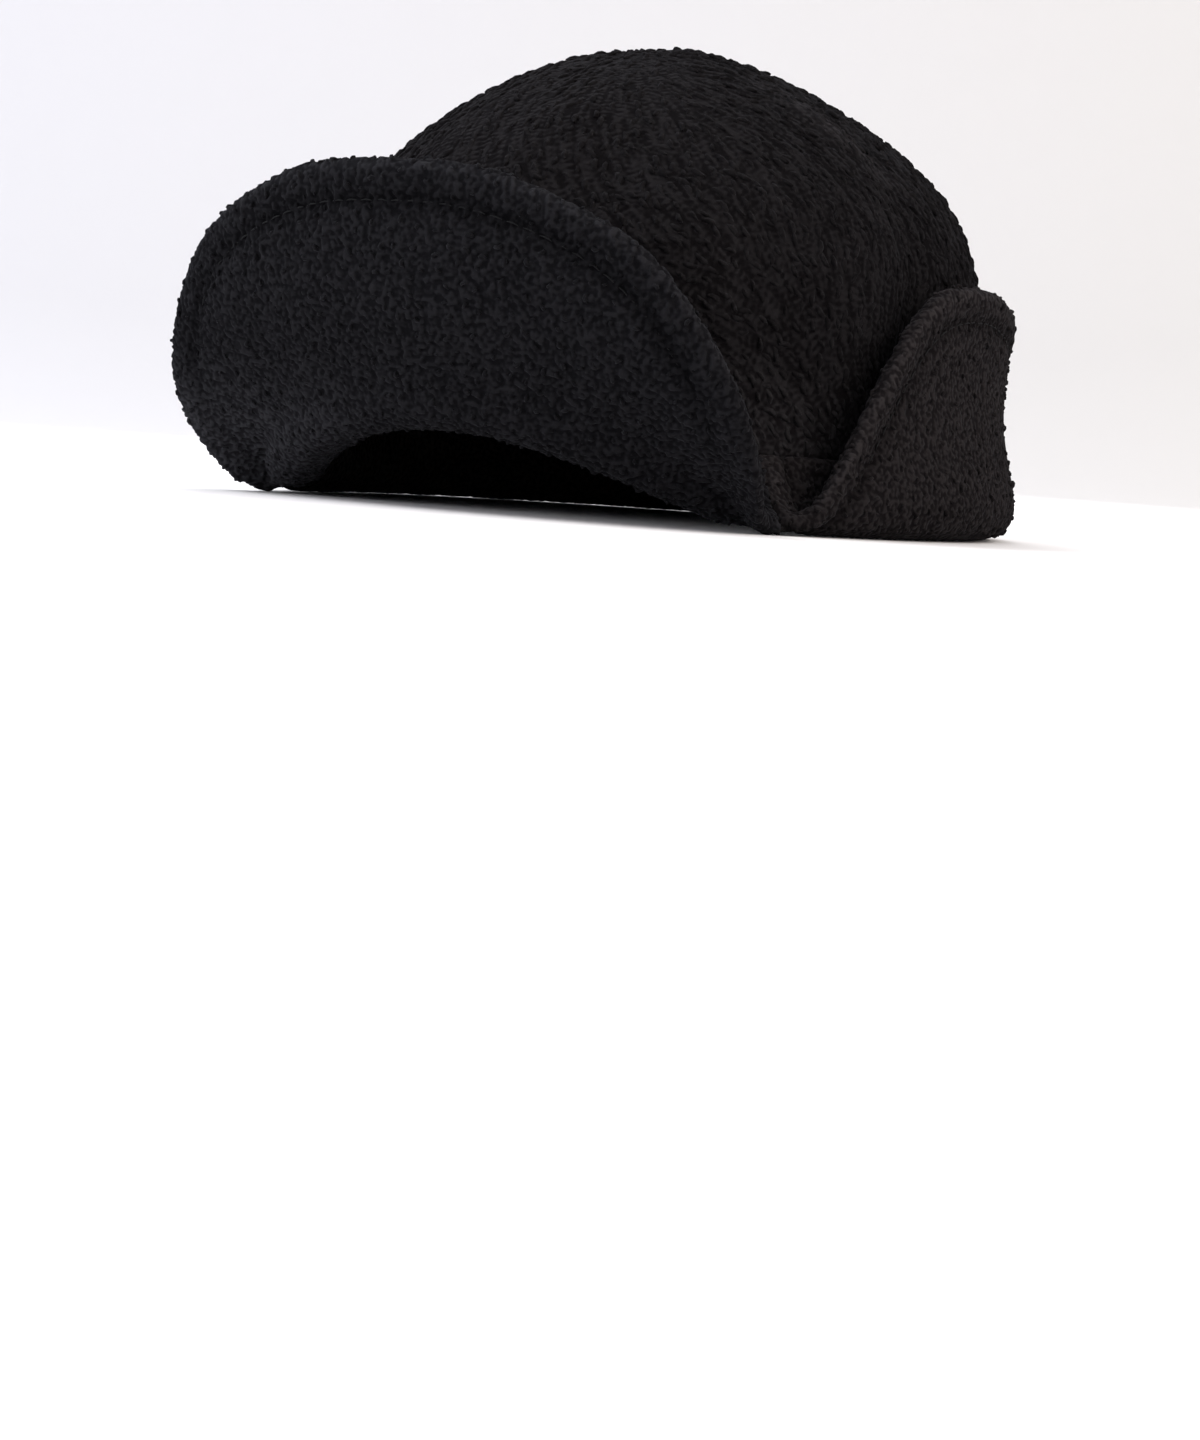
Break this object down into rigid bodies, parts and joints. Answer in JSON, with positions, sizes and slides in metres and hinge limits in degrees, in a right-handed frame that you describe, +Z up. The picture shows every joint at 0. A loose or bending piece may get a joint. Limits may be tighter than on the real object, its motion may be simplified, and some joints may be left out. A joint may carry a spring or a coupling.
{
  "type": "earflap cap",
  "caption": "Round soft pile-fleece cap with a deep turned-up brim and an ear flap band turned up round the sides and back.",
  "frame": {"origin": "centre of the bounding box's underside, on the surface that the cap rests on, under the middle of the head's opening", "axes": "the cap faces -Y, +Y is towards the back, +X is the wearer's left, +Z is up to the top of the crown"},
  "size_m": [0.2008, 0.2492, 0.1275],
  "materials": {
    "fleece_crown": "black curly pile fleece, long strands",
    "fleece_cuff": "black curly pile fleece, short nubs"
  },
  "bodies": {
    "root": {"crown_front_left": "fleece_crown", "crown_front_right": "fleece_crown", "crown_back_left": "fleece_crown", "crown_back_right": "fleece_crown", "brim": "fleece_cuff", "ear_flap": "fleece_cuff"}
  },
  "joints": []
}
